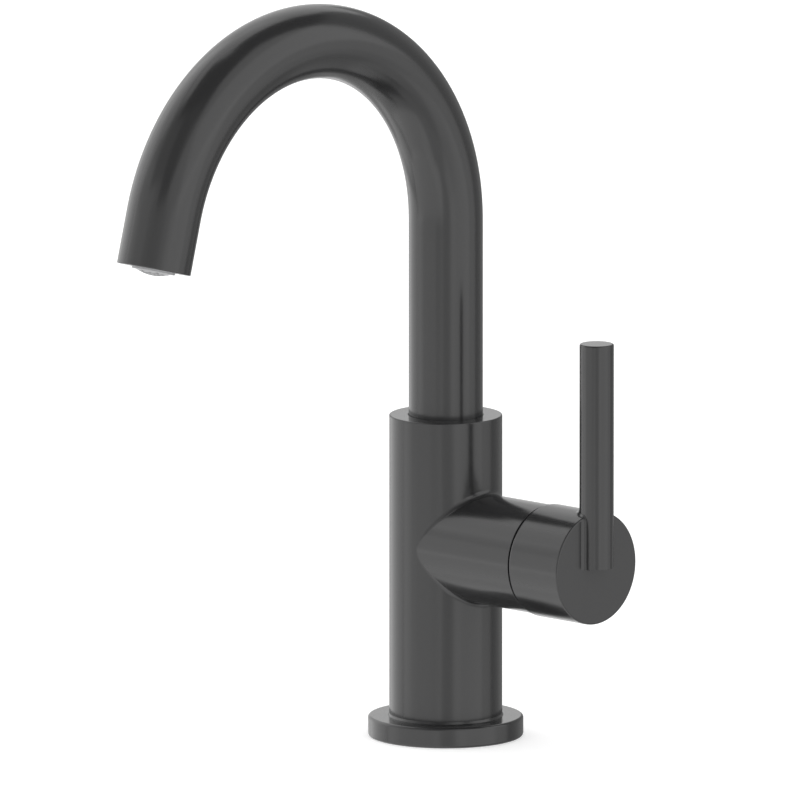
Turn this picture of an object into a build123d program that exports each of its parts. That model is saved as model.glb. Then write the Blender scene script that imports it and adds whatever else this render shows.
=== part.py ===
from build123d import *
import math
import os

# Single-hole basin faucet with a side lever and a swivelling round-tube spout.
# Millimetres. The origin is the centre of the deck flange's underside, +Z is up,
# the spout points to -Y and the handle's hub points to +X.

# Clearances

slip_gap = 0.05
running_gap = 0.05
guide_gap = 0.03
free_gap = 0.3
overrun = 1.0

# Deck flange and its seal

flange_lip = 7.7
flange_height = 7.5
flange_edge_radius = 1.0
seal_width = 4.6
seal_height = 2.0
seal_inset = 2.7

# Valve body: the column

body_radius = 20.6
body_top = 118.4
body_edge_radius = 0.45
foot_flare = 0.4
foot_flare_height = 0.8
spigot_step = 3.1
spigot_lift = 0.5
chamber_radius = 13.6
chamber_top = 56.0

# Valve body: the side hub

hub_step = 0.6
hub_height = 71.2
hub_reach = 51.2
hub_fillet_radius = 1.8
hub_edge_radius = 0.15

# Base plug with the hose ports and the stud hole

plug_height = 20.0
port_radius = 4.5
port_depth = 9.5
port_spacing = 14.0
stud_hole_radius = 3.4
stud_hole_depth = 12.0
stud_offset = 9.0
plug_seal_above_stud = 3.0
plug_seal_cord = 1.8
base_screw_radius = 2.0
base_screw_height = 4.0
base_screw_bite = 1.0
base_screw_count = 3
base_screw_angle = 60.0
base_screw_socket = 2.0

# Inlet tubes

tube_radius = 4.0
tube_wall = 1.0
tube_grip = 6.0
tube_seal_cord = 1.2

# Waterways in the valve body

inlet_radius = 2.0
inlet_side = 4.8
inlet_rise = 2.6
outflow_radius = 2.6
outflow_drop = 4.6
outflow_back = 8.0
well_radius = 10.9
well_depth = 6.0

# Spout

spout_radius = 13.5
spout_wall = 1.5
bend_radius = 73.5
bend_angle = 165.0
bend_height = 190.4
tail_length = 20.0
outlet_edge_radius = 0.4

# Spout's turned foot in the socket of the body

socket_depth = 32.4
mouth_chamfer = 0.3
washer_height = 1.0
washer_width = 3.9
journal_length = 17.75
journal_bore = 9.0
journal_spigot = 12.2
journal_seal_cord = 1.84
journal_seal_heights = (3.1, 7.5)
stop_groove_height = 13.45
stop_groove_depth = 1.5
stop_tip_radius = 1.7
stop_screw_radius = 2.5
stop_screw_recess = 0.4
swivel_limit = 60.0
stop_allowance = 0.5
guide_height = 4.0
guide_width = 1.3
guide_below_mouth = 2.9

# Outlet and aerator

outlet_ring_length = 12.0
aerator_thread_radius = 8.25
aerator_depth = 9.5
aerator_washer_height = 1.2
aerator_wall = 1.75
aerator_rim_radius = 7.95
aerator_rim_height = 0.8
aerator_dome_height = 2.2
regulator_height = 2.0
regulator_hole_radius = 0.9
regulator_hole_count = 8
cell_size = 1.25
cell_web = 0.3
cell_depth = 3.5
cell_margin = 0.9

# Cartridge

cartridge_radius = 12.5
cartridge_wall = 2.0
cartridge_length = 28.5
cartridge_base_height = 4.0
port_seal_width = 1.3
port_seal_height = 1.8
fixed_disc_height = 3.5
disc_film = 0.03
moving_disc_radius = 8.9
moving_disc_height = 3.4
disc_pocket_depth = 2.0
disc_pocket_radius = 6.4
carrier_height = 3.6
housing_lip_height = 1.5
rotor_gap = 0.08
rotor_seal_cord = 1.6
rotor_seal_below_top = 3.2
lug_width_angle = 24.0
lug_thickness = 1.2
turn_limit = 45.0
nut_height = 5.5
nut_thread_step = 1.5
nut_slot_count = 4
nut_slot_angle = 45.0
nut_slot_width = 3.0
nut_slot_depth = 1.5
bonnet_height = 1.8
bonnet_step = 2.0
bonnet_recess = 0.4

# Lever stem and its pivot

tilt_limit = 22.0
tilt_pivot_depth = 18.2
tilt_gap = 0.28
pivot_pin_radius = 1.5
stem_width = 6.0
stem_side_gap = 0.25
stem_sweep_gap = 0.6
stem_foot = 3.2
stem_tail_radius = 1.5
stem_tail_gap = 0.1
stem_insertion = 7.9

# Handle cap

seam_gap = 0.8
cap_length = 24.6
cap_edge_radius = 0.6
cap_back_edge_radius = 0.9
cap_web = 3.15
cap_rim_depth_gap = 1.4
cap_skirt_wall = 3.1
boss_radius = 7.5
boss_length = 9.3
grub_radius = 2.5
grub_length = 4.3
grub_depth = 5.0
grub_socket = 2.5
hole_plug_length = 2.8
hole_plug_recess = 0.1

# Lever

lever_radius = 6.25
lever_length = 82.3
lever_stand = 0.0
lever_start = 0.3
lever_edge_radius = 0.6
lever_fillet_radius = 2.0
lever_seat_gap = 0.08
lever_screw_radius = 2.0
lever_screw_bite = 6.5
screw_head_radius = 3.5
screw_head_height = 2.4
screw_socket = 2.5

# Sizes that follow from the ones above

flange_radius = body_radius + flange_lip
spigot_radius = body_radius - spigot_step
hub_radius = body_radius - hub_step
cap_radius = body_radius
plug_radius = chamber_radius - slip_gap
plug_seal_height = stud_hole_depth + plug_seal_above_stud
tube_offset = port_spacing / 2
tube_bore = tube_radius - tube_wall
tube_low = plug_height - tube_grip
tube_high = chamber_top + tube_grip
tube_seal_radius = tube_radius + tube_seal_cord

socket_radius = spout_radius + running_gap
socket_floor = body_top - socket_depth
journal_low = socket_floor + washer_height + running_gap
journal_top = journal_low + journal_length
tube_bore_radius = spout_radius - spout_wall
stop_height = journal_low + stop_groove_height
stop_groove_radius = spout_radius - stop_groove_depth
stop_tip_end = stop_groove_radius + free_gap
stop_tip_angle = math.degrees(math.asin(stop_tip_radius / stop_tip_end))

tail_angle = math.radians(bend_angle)
tail_direction = Vector(0, -math.sin(tail_angle), math.cos(tail_angle))
bend_end = Vector(
    0,
    bend_radius * (math.cos(tail_angle) - 1),
    bend_height + bend_radius * math.sin(tail_angle),
)
outlet_centre = bend_end + tail_direction * tail_length

bonnet_top = hub_reach - bonnet_recess
nut_top = bonnet_top - bonnet_height
cartridge_top = nut_top - nut_height
seat_reach = cartridge_top - cartridge_length
fixed_disc_low = seat_reach + cartridge_base_height
moving_disc_low = fixed_disc_low + fixed_disc_height + disc_film
carrier_low = moving_disc_low + moving_disc_height
rotor_low = carrier_low + carrier_height + free_gap
rotor_top = cartridge_top - housing_lip_height - free_gap / 2
housing_bore = cartridge_radius - cartridge_wall
rotor_radius = housing_bore - rotor_gap
nut_radius = cartridge_radius + nut_thread_step
bonnet_radius = nut_radius + bonnet_step

cap_back = hub_reach + seam_gap
cap_front = cap_back + cap_length
pivot_reach = cap_back - tilt_pivot_depth
tail_reach = carrier_low + free_gap + stem_tail_radius
stem_tail_length = pivot_reach - tail_reach
full_tilt = math.radians(tilt_limit)
disc_travel = stem_tail_length * math.sin(full_tilt)
pivot_to_hub_end = tilt_pivot_depth - seam_gap
hub_corner_squared = hub_radius**2 + pivot_to_hub_end**2 - tilt_pivot_depth**2
cap_rim_bore = math.sqrt(hub_corner_squared) + tilt_gap
hub_corner_reach = pivot_to_hub_end * math.cos(full_tilt) + hub_radius * math.sin(full_tilt)
cap_rim_depth = hub_corner_reach - tilt_pivot_depth + cap_rim_depth_gap
cap_bore = cap_radius - cap_skirt_wall
lever_reach = cap_front + lever_stand
lever_bottom = hub_height + lever_start
lever_top = lever_bottom + lever_length
cap_floor = lever_reach - lever_radius - cap_web
boss_low = cap_floor - boss_length
stem_top = boss_low + stem_insertion
grub_reach = boss_low + grub_depth
lever_screw_offset = (boss_radius + cap_bore) / 2


# Frames: in the hub's frame local Z runs out along the hub, X is world Y and Y is up.
# In the outlet's frame local Z runs out of the outlet, in the back frame it runs to +Y
# at the stop screw, and in the grub frame it runs down from the hub's axis.

hub_frame = Plane((0, 0, hub_height), x_dir=(0, 1, 0), z_dir=(1, 0, 0)).location
outlet_frame = Plane(outlet_centre, x_dir=(1, 0, 0), z_dir=tail_direction).location
back_frame = Plane((0, 0, stop_height), x_dir=(1, 0, 0), z_dir=(0, 1, 0)).location
grub_frame = hub_frame * Plane((0, 0, grub_reach), x_dir=(1, 0, 0), z_dir=(0, -1, 0)).location


def bar(radius, low, high):
    """A round bar on the local Z axis."""
    return Pos(0, 0, low) * Cylinder(radius, high - low, align=(Align.CENTER, Align.CENTER, Align.MIN))


def ring(outer, inner, low, high):
    """A plain ring on the local Z axis."""
    return bar(outer, low, high) - bar(inner, low, high)


def sector(outer, inner, low, high, middle, half_angle):
    """A piece of a ring, half_angle degrees to each side of the middle direction."""
    corners = [(inner, low), (outer, low), (outer, high), (inner, high)]
    face = Plane.XZ * make_face(Polyline(*corners, close=True))
    return Rot(0, 0, middle - half_angle) * revolve(face, Axis.Z, revolution_arc=2 * half_angle)


def turned(outline):
    """A turned piece: an outline of (radius, height) points spun about the local Z axis."""
    return revolve(Plane.XZ * make_face(Polyline(*outline, close=True)), Axis.Z)


def o_ring(outer, cord, height):
    """A round-section ring whose outside is at the given radius."""
    return Pos(0, 0, height) * Torus(outer - cord / 2, cord / 2)


def hexagon(across_flats, low, high):
    """A six-sided bar on the local Z axis."""
    face = RegularPolygon(across_flats / 2, 6, major_radius=False)
    return Pos(0, 0, low) * extrude(face, high - low)


def grub_screw(radius, low, high, socket):
    """A headless screw with a socket in its far end."""
    return bar(radius, low, high) - hexagon(socket, high - socket, high)


def around(count, first=0.0):
    """Evenly spaced turns about the local Z axis."""
    return [Rot(0, 0, first + 360 * index / count) for index in range(count)]


def circles_at(shape, height, radius):
    """The round edges of a shape at one height and radius on the local Z axis."""
    found = []
    for edge in shape.edges().filter_by(GeomType.CIRCLE):
        centre = edge.arc_center
        on_axis = abs(centre.X) < 0.01 and abs(centre.Y) < 0.01
        if on_axis and abs(centre.Z - height) < 0.01 and abs(edge.radius - radius) < 0.01:
            found.append(edge)
    return found


def radial_frame(height):
    """A frame at a height on the local Z axis whose own Z runs out along local X."""
    return Plane((0, 0, height), x_dir=(0, 1, 0), z_dir=(1, 0, 0)).location


def make_deck_flange():
    """Round foot ring with a groove for its seal in the underside."""
    flange = ring(flange_radius, spigot_radius + slip_gap, 0, flange_height)
    for height in (0, flange_height):
        flange = fillet(circles_at(flange, height, flange_radius), flange_edge_radius)
    groove_outer = flange_radius - seal_inset
    return flange - ring(groove_outer, groove_outer - seal_width, 0, seal_height)


def make_flange_seal():
    """Flat rubber ring that lies flush in the flange's groove."""
    outer = flange_radius - seal_inset
    return ring(outer, outer - seal_width, 0, seal_height)


def make_body_shape():
    """The outside of the casting: column, foot, side hub and the fillet between them."""
    column = Rot(0, 0, 180) * bar(body_radius, flange_height, body_top)
    hub = hub_frame * bar(hub_radius, 0, hub_reach)
    shape = column + hub
    crotch = []
    for edge in shape.edges():
        middle = edge.center()
        beside_hub = abs(middle.Z - hub_height) <= hub_radius and 0.5 < middle.X < hub_reach - 1
        if beside_hub and edge.geom_type != GeomType.LINE:
            crotch.append(edge)
    shape = fillet(crotch, hub_fillet_radius)
    shape = fillet(circles_at(shape, body_top, body_radius), body_edge_radius)
    hub_end = hub_frame.inverse() * shape
    shape = hub_frame * fillet(circles_at(hub_end, hub_reach, hub_radius), hub_edge_radius)
    flare_radius = body_radius + foot_flare
    flare = turned([
        (spigot_radius, flange_height),
        (flare_radius, flange_height),
        (body_radius, flange_height + foot_flare_height),
        (spigot_radius, flange_height + foot_flare_height),
    ])
    return shape + flare + bar(spigot_radius, spigot_lift, flange_height)


def inlet_ways():
    """The two inlet waterways, with the sockets for the tubes and their seals."""
    ways = []
    for side in (-1, 1):
        riser = bar(tube_bore, chamber_top, hub_height + inlet_rise)
        socket = bar(tube_radius + slip_gap, chamber_top, tube_high)
        gland = bar(tube_seal_radius + slip_gap, chamber_top, chamber_top + tube_seal_cord)
        ways.append(Pos(0, side * tube_offset, 0) * (riser + socket + gland))
        ways.append(hub_frame * Pos(side * inlet_side, inlet_rise, 0) * bar(inlet_radius, 0, seat_reach))
    return ways


def outflow_way():
    """The mixed-water way from the cartridge's seat back and up into the spout's socket."""
    level = hub_frame * Pos(0, -outflow_drop, 0) * bar(outflow_radius, -outflow_back, seat_reach)
    low = hub_height - outflow_drop
    riser = Pos(-outflow_back, 0, 0) * bar(outflow_radius, low, socket_floor - well_depth)
    well = bar(well_radius, socket_floor - well_depth, socket_floor)
    return level + riser + well


def make_valve_body():
    """The casting with its bores, seats and waterways."""
    body = make_body_shape()
    body -= bar(chamber_radius, spigot_lift, chamber_top)
    body -= bar(socket_radius, socket_floor, body_top)
    body -= turned([
        (socket_radius, body_top),
        (socket_radius, body_top - mouth_chamfer),
        (socket_radius + mouth_chamfer, body_top),
    ])
    guide_top = body_top - guide_below_mouth
    body -= ring(socket_radius + guide_width, socket_radius, guide_top - guide_height, guide_top)
    for way in inlet_ways():
        body -= way
    body -= outflow_way()
    body -= hub_frame * bar(cartridge_radius + slip_gap, seat_reach, hub_reach)
    body -= hub_frame * bar(nut_radius + slip_gap, cartridge_top - nut_thread_step, hub_reach)
    body -= hub_frame * bar(bonnet_radius + slip_gap, nut_top, hub_reach)
    body -= back_frame * bar(stop_screw_radius + slip_gap, 0, body_radius + overrun)
    for turn in around(base_screw_count, base_screw_angle):
        hole = bar(base_screw_radius, 0, spigot_radius + overrun)
        body -= turn * radial_frame(base_screw_height) * hole
    return body


def make_base_plug():
    """Foot plug: two hose ports with tube sockets above them, and the stud hole."""
    plug = bar(plug_radius, 0, plug_height)
    groove_low = plug_seal_height - plug_seal_cord / 2 - slip_gap
    groove_high = plug_seal_height + plug_seal_cord / 2 + slip_gap
    plug -= ring(plug_radius, plug_radius - plug_seal_cord, groove_low, groove_high)
    for side in (-1, 1):
        way = bar(port_radius, 0, port_depth)
        way += bar(tube_bore, port_depth, tube_low)
        way += bar(tube_radius + slip_gap, tube_low, plug_height)
        way += bar(tube_seal_radius + slip_gap, plug_height - tube_seal_cord, plug_height)
        plug -= Pos(0, side * tube_offset, 0) * way
    plug -= Pos(stud_offset, 0, 0) * bar(stud_hole_radius, 0, stud_hole_depth)
    for turn in around(base_screw_count, base_screw_angle):
        dimple = bar(base_screw_radius, plug_radius - base_screw_bite, plug_radius + overrun)
        plug -= turn * radial_frame(base_screw_height) * dimple
    return plug


def make_base_plug_seal():
    """O-ring in the plug's groove."""
    return o_ring(plug_radius, plug_seal_cord, plug_seal_height)


def make_base_plug_screws():
    """Grub screws that go through the spigot into the plug."""
    screws = []
    for turn in around(base_screw_count, base_screw_angle):
        screw = grub_screw(
            base_screw_radius - slip_gap,
            plug_radius - base_screw_bite,
            spigot_radius - slip_gap,
            base_screw_socket,
        )
        screws.append(turn * radial_frame(base_screw_height) * screw)
    return screws


def make_inlet_tube(side):
    """Tube from a hose port up to the valve block."""
    return Pos(0, side * tube_offset, 0) * ring(tube_radius, tube_bore, tube_low, tube_high)


def make_inlet_tube_seals():
    """One O-ring at each end of each tube."""
    heights = (plug_height - tube_seal_cord / 2, chamber_top + tube_seal_cord / 2)
    seals = []
    for side in (-1, 1):
        for height in heights:
            seal = o_ring(tube_seal_radius, tube_seal_cord, height)
            seals.append(Pos(0, side * tube_offset, 0) * seal)
    return seals


def make_spout_thrust_washer():
    """Plastic washer on the floor of the spout's socket."""
    outer = socket_radius - slip_gap
    return ring(outer, outer - washer_width, socket_floor, socket_floor + washer_height)


def make_spout_guide_ring():
    """Plastic ring that guides the tube near the socket's mouth."""
    top = body_top - guide_below_mouth
    inner = spout_radius + guide_gap
    return ring(socket_radius + guide_width, inner, top - guide_height, top)


def make_spout_stop_screw():
    """Grub screw with a plain tip that runs in the journal's groove."""
    shoulder = socket_radius + free_gap
    head = body_radius - stop_screw_recess
    screw = grub_screw(stop_screw_radius, shoulder, head, stop_screw_radius)
    return back_frame * (screw + bar(stop_tip_radius, stop_tip_end, shoulder))


def spout_bar(radius, low):
    """A solid bar along the spout's line, from a height on the riser to the outlet."""
    riser = bar(radius, low, bend_height)
    start = Pos(0, 0, bend_height) * Circle(radius)
    bend_axis = Axis((0, -bend_radius, bend_height), (1, 0, 0))
    bend = revolve(start, bend_axis, revolution_arc=bend_angle)
    tail = outlet_frame * bar(radius, -tail_length, 0)
    return riser + bend + tail


def make_spout_tube():
    """Round tube: riser, bend and short straight tail."""
    outside = outlet_frame.inverse() * spout_bar(spout_radius, journal_top)
    outside = fillet(circles_at(outside, 0, spout_radius), outlet_edge_radius)
    return outlet_frame * outside - spout_bar(tube_bore_radius, journal_top)


def make_spout_journal():
    """Turned foot of the spout, with grooves for the seals and the stop screw."""
    journal = bar(spout_radius, journal_low, journal_top)
    journal += bar(tube_bore_radius - slip_gap, journal_top, journal_top + journal_spigot)
    journal -= bar(journal_bore, journal_low, journal_top + journal_spigot)
    half_groove = journal_seal_cord / 2 + slip_gap
    for seal_height in journal_seal_heights:
        middle = journal_low + seal_height
        root = spout_radius - journal_seal_cord
        journal -= ring(spout_radius, root, middle - half_groove, middle + half_groove)
    reach = swivel_limit + stop_tip_angle + stop_allowance
    low = stop_height - stop_tip_radius - free_gap
    high = stop_height + stop_tip_radius + free_gap
    return journal - sector(spout_radius + overrun, stop_groove_radius, low, high, 90, reach)


def make_spout_seals():
    """Two O-rings below the stop groove."""
    return [
        o_ring(spout_radius, journal_seal_cord, journal_low + seal_height)
        for seal_height in journal_seal_heights
    ]


def make_outlet_ring():
    """Ring in the end of the tube that holds the aerator."""
    outer = tube_bore_radius - slip_gap
    throat = aerator_thread_radius - aerator_wall
    blank = ring(outer, throat, -outlet_ring_length, 0)
    return outlet_frame * (blank - bar(aerator_thread_radius, -aerator_depth, 0))


def make_aerator_washer():
    """Rubber washer at the bottom of the aerator's thread."""
    outer = aerator_thread_radius - slip_gap
    low = -aerator_depth
    return outlet_frame * ring(outer, outer - aerator_wall, low, low + aerator_washer_height)


def make_flow_regulator():
    """Disc with a ring of small holes above the aerator's core."""
    radius = aerator_thread_radius - slip_gap - aerator_wall - slip_gap
    low = aerator_washer_height - aerator_depth
    disc = bar(radius, low, low + regulator_height)
    for turn in around(regulator_hole_count):
        disc -= turn * Pos(radius / 2, 0, 0) * bar(regulator_hole_radius, low, low + regulator_height)
    return outlet_frame * disc


def make_aerator_housing():
    """Threaded sleeve whose rim shows below the outlet."""
    outer = aerator_thread_radius - slip_gap
    low = aerator_washer_height - aerator_depth
    sleeve = bar(outer, low, 0) + bar(aerator_rim_radius, 0, aerator_rim_height)
    return outlet_frame * (sleeve - bar(outer - aerator_wall, low, aerator_rim_height))


def make_aerator_core():
    """Domed honeycomb that straightens the stream."""
    radius = aerator_thread_radius - slip_gap - aerator_wall - slip_gap
    low = aerator_washer_height - aerator_depth + regulator_height
    rise = aerator_dome_height - aerator_rim_height
    ball_radius = (radius**2 + rise**2) / (2 * rise)
    dome = Pos(0, 0, aerator_dome_height - ball_radius) * Sphere(ball_radius)
    core = bar(radius, low, aerator_dome_height) & dome
    pitch = cell_size + cell_web
    reach = radius - cell_margin
    rings = math.ceil(reach / pitch)
    cells = []
    for row in range(-rings, rings + 1):
        for column in range(-rings, rings + 1):
            x = pitch * (column + row / 2)
            y = pitch * row * math.sqrt(3) / 2
            if math.hypot(x, y) < reach:
                cells.append(Pos(x, y) * RegularPolygon(cell_size / 2, 6, major_radius=False, rotation=30))
    cell_low = aerator_dome_height - cell_depth
    cutter = Pos(0, 0, cell_low) * extrude(Sketch() + cells, cell_depth)
    return outlet_frame * (core - cutter)


def cartridge_ports():
    """Port places and radii in the hub's frame: cold, hot and mixed."""
    return [
        (-inlet_side, inlet_rise, inlet_radius),
        (inlet_side, inlet_rise, inlet_radius),
        (0, -outflow_drop, outflow_radius),
    ]


def make_cartridge_base():
    """Foot of the cartridge, with a pocket round each port for its seal."""
    base = bar(cartridge_radius, seat_reach, fixed_disc_low)
    for x, y, radius in cartridge_ports():
        base -= Pos(x, y, 0) * bar(radius, seat_reach, fixed_disc_low)
        base -= Pos(x, y, 0) * bar(radius + port_seal_width, seat_reach, seat_reach + port_seal_height)
    return hub_frame * base


def make_port_seals():
    """Three rubber seals between the cartridge and its seat."""
    seals = []
    for x, y, radius in cartridge_ports():
        seal = ring(radius + port_seal_width, radius, seat_reach, seat_reach + port_seal_height)
        seals.append(hub_frame * Pos(x, y, 0) * seal)
    return seals


def make_fixed_disc():
    """Lower ceramic disc with the three ports."""
    disc = bar(housing_bore - slip_gap, fixed_disc_low, fixed_disc_low + fixed_disc_height)
    for x, y, radius in cartridge_ports():
        disc -= Pos(x, y, 0) * bar(radius, fixed_disc_low, fixed_disc_low + fixed_disc_height)
    return hub_frame * disc


def make_cartridge_housing():
    """Sleeve round the discs and the rotor, with the window that stops the rotor's lug."""
    lip_low = cartridge_top - housing_lip_height
    housing = ring(cartridge_radius, housing_bore, fixed_disc_low, lip_low)
    housing += ring(cartridge_radius, stem_opening(cartridge_top), lip_low, cartridge_top)
    reach = turn_limit + lug_width_angle / 2 + stop_allowance
    return hub_frame * (housing - sector(housing_bore, 0, lip_low, cartridge_top, 90, reach))


def make_cartridge_nut():
    """Threaded ring with slots for a pin spanner."""
    nut = ring(nut_radius, stem_opening(nut_top), cartridge_top, nut_top)
    for turn in around(nut_slot_count, nut_slot_angle):
        slot = Box(2 * nut_radius, nut_slot_width, nut_slot_depth, align=(Align.MIN, Align.CENTER, Align.MAX))
        nut -= turn * Pos(0, 0, nut_top) * slot
    return hub_frame * nut


def make_bonnet_ring():
    """Thin ring that covers the nut in the mouth of the hub."""
    bore = stem_opening(bonnet_top)
    blank = ring(bonnet_radius, bore, nut_top, bonnet_top)
    edges = circles_at(blank, bonnet_top, bonnet_radius) + circles_at(blank, bonnet_top, bore)
    return hub_frame * fillet(edges, bonnet_recess)


def stem_slot():
    """The space that the stem sweeps in the rotor as it tips, plus its clearance."""
    half = stem_width / 2 + stem_side_gap
    slanted = half / math.cos(full_tilt)
    above = rotor_top + lug_height() - pivot_reach
    below = pivot_reach - rotor_low
    outline = [
        (half, above),
        (slanted, 0),
        (below * math.tan(full_tilt) + slanted, -below),
        (-half, -below),
        (-slanted, 0),
        (-above * math.tan(full_tilt) - slanted, above),
    ]
    face = Plane.YZ * make_face(Polyline(*outline, close=True))
    return Pos(0, 0, pivot_reach) * extrude(face, half, both=True)


def lug_height():
    """How far the rotor's lug stands up beside the housing's lip."""
    return housing_lip_height - free_gap / 2


def stem_opening(reach):
    """Radius of an opening that clears the tipped stem at a distance along the hub."""
    swing = (reach - pivot_reach) * math.tan(full_tilt) + stem_width / 2 / math.cos(full_tilt)
    return math.hypot(swing, stem_width / 2) + stem_sweep_gap


def make_lever_carrier():
    """Rotor that carries the pivot pin, with a lug in the housing's window."""
    rotor = bar(rotor_radius, rotor_low, rotor_top)
    lug_inner = rotor_radius - lug_thickness
    lug_top = rotor_top + lug_height()
    rotor += sector(rotor_radius, lug_inner, rotor_top - overrun, lug_top, 90, lug_width_angle / 2)
    middle = rotor_top - rotor_seal_below_top
    half_groove = rotor_seal_cord / 2 + slip_gap
    rotor -= ring(rotor_radius, rotor_radius - rotor_seal_cord, middle - half_groove, middle + half_groove)
    rotor -= stem_slot()
    return hub_frame * rotor - pin_bar(pivot_pin_radius + slip_gap, rotor_radius)


def make_carrier_seal():
    """O-ring in the rotor's groove."""
    return hub_frame * o_ring(rotor_radius, rotor_seal_cord, rotor_top - rotor_seal_below_top)


def pin_bar(radius, half_length):
    """A bar across the hub at the tilt pivot."""
    return hub_frame * radial_frame(pivot_reach) * bar(radius, -half_length, half_length)


def make_pivot_pin():
    """Pin that the stem tips on, as long as the rotor allows."""
    return pin_bar(pivot_pin_radius, math.sqrt(rotor_radius**2 - pivot_pin_radius**2) - slip_gap)


def make_disc_carrier():
    """Holds the moving disc; the stem's tail sits in its hole."""
    carrier = bar(moving_disc_radius, carrier_low, carrier_low + carrier_height)
    carrier = Pos(0, -disc_travel / 2, 0) * carrier
    hole_radius = stem_tail_radius + stem_tail_gap
    for share in (0, 0.5, 1):
        tilt = Rot(share * tilt_limit, 0, 0)
        hole = bar(hole_radius, -2 * carrier_height, 2 * carrier_height)
        carrier -= Pos(0, 0, tail_reach) * tilt * hole
    return hub_frame * carrier


def make_moving_disc():
    """Upper ceramic disc: its pocket joins the ports once it has slid."""
    disc = bar(moving_disc_radius, moving_disc_low, moving_disc_low + moving_disc_height)
    pocket = bar(disc_pocket_radius, moving_disc_low, moving_disc_low + disc_pocket_depth)
    edge = inlet_rise - inlet_radius - free_gap + disc_travel / 2
    keep = Box(
        2 * moving_disc_radius,
        2 * moving_disc_radius,
        2 * moving_disc_height,
        align=(Align.CENTER, Align.MAX, Align.CENTER),
    )
    disc -= pocket & (Pos(0, edge, moving_disc_low) * keep)
    return hub_frame * Pos(0, -disc_travel / 2, 0) * disc


def make_lever_stem():
    """Square stem on the pivot pin, with a round tail in the disc carrier."""
    low = pivot_reach - stem_foot
    length = stem_top - low
    shank = Box(stem_width, stem_width, length, align=(Align.CENTER, Align.CENTER, Align.MIN))
    stem = Pos(0, 0, low) * shank
    stem += bar(stem_tail_radius, tail_reach, low + overrun)
    stem += Pos(0, 0, tail_reach) * Sphere(stem_tail_radius)
    return hub_frame * stem - pin_bar(pivot_pin_radius + running_gap, stem_width)


def make_cap_blank():
    """The outside of the handle cap with the fillet that runs round the lever's foot."""
    cap = bar(cap_radius, cap_back, cap_front)
    cap = fillet(circles_at(cap, cap_front, cap_radius), cap_edge_radius)
    cap = fillet(circles_at(cap, cap_back, cap_radius), cap_back_edge_radius)
    blank = hub_frame * cap + lever_bar(lever_radius)
    return fillet([edge for edge in blank.edges() if is_lever_seat(edge)], lever_fillet_radius)


def is_lever_seat(edge):
    """True for an edge where the lever runs into the cap, above the lever's foot."""
    for share in (0.05, 0.5, 0.95):
        point = edge.position_at(share)
        if abs(math.hypot(point.X - lever_reach, point.Y) - lever_radius) > 0.02:
            return False
    middle = edge.position_at(0.5)
    above_foot = lever_bottom + 0.1 < middle.Z < hub_height + cap_radius + 0.1
    return above_foot and middle.X < lever_reach + 0.2


def lever_bar(radius):
    """A bar where the lever stands."""
    return Pos(lever_reach, 0, 0) * bar(radius, lever_bottom, lever_top)


def make_handle_cap():
    """Hollow cap whose rim swings over the end of the hub, with a boss for the stem."""
    cap = make_cap_blank() - lever_bar(lever_radius + lever_seat_gap)
    hollow = bar(cap_rim_bore, cap_back, cap_back + cap_rim_depth)
    hollow += bar(cap_bore, cap_back, cap_floor)
    hollow -= bar(boss_radius, boss_low, cap_floor)
    half = stem_width / 2 + slip_gap
    socket = Box(2 * half, 2 * half, stem_insertion + slip_gap, align=(Align.CENTER, Align.CENTER, Align.MIN))
    hollow += Pos(0, 0, boss_low) * socket
    cap -= hub_frame * hollow
    cap -= grub_frame * bar(grub_radius + slip_gap, 0, cap_radius + overrun)
    return cap - lever_screw_bar(lever_screw_radius, cap_floor, lever_reach)


def make_handle_grub_screw():
    """Grub screw in the boss that holds the handle on the stem."""
    low = stem_width / 2 + slip_gap
    return grub_frame * grub_screw(grub_radius, low, low + grub_length, grub_socket)


def make_screw_hole_plug():
    """Small plug that closes the grub screw's hole on the underside of the cap."""
    outside = hub_frame * bar(cap_radius - hole_plug_recess, cap_back, cap_front)
    return grub_frame * bar(grub_radius, cap_radius - hole_plug_length, cap_radius + overrun) & outside


def make_lever_rod():
    """Plain round lever with a tapped hole in its back."""
    rod = fillet(circles_at(bar(lever_radius, lever_bottom, lever_top), lever_top, lever_radius), lever_edge_radius)
    rod = Pos(lever_reach, 0, 0) * rod
    back = lever_reach - lever_radius
    return rod - lever_screw_bar(lever_screw_radius, back - overrun, back + lever_screw_bite)


def lever_screw_bar(radius, low, high):
    """A bar along the hub at the lever's hidden screw."""
    return hub_frame * Pos(0, lever_screw_offset, 0) * bar(radius, low, high)


def make_lever_screw():
    """Socket-head screw inside the cap that pulls the lever into its seat."""
    back = lever_reach - lever_radius
    head_low = cap_floor - screw_head_height
    screw = lever_screw_bar(lever_screw_radius - slip_gap, cap_floor, back + lever_screw_bite - free_gap)
    screw += lever_screw_bar(screw_head_radius, head_low, cap_floor)
    socket = hexagon(screw_socket, head_low, head_low + screw_head_height / 2)
    return screw - hub_frame * Pos(0, lever_screw_offset, 0) * socket


def as_node(pieces):
    """One shape for a node, from a piece or a list of separate pieces."""
    if isinstance(pieces, list):
        return Compound(children=[solid for piece in pieces for solid in piece.solids()])
    solids = pieces.solids()
    return solids[0] if len(solids) == 1 else Compound(children=solids)


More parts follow.
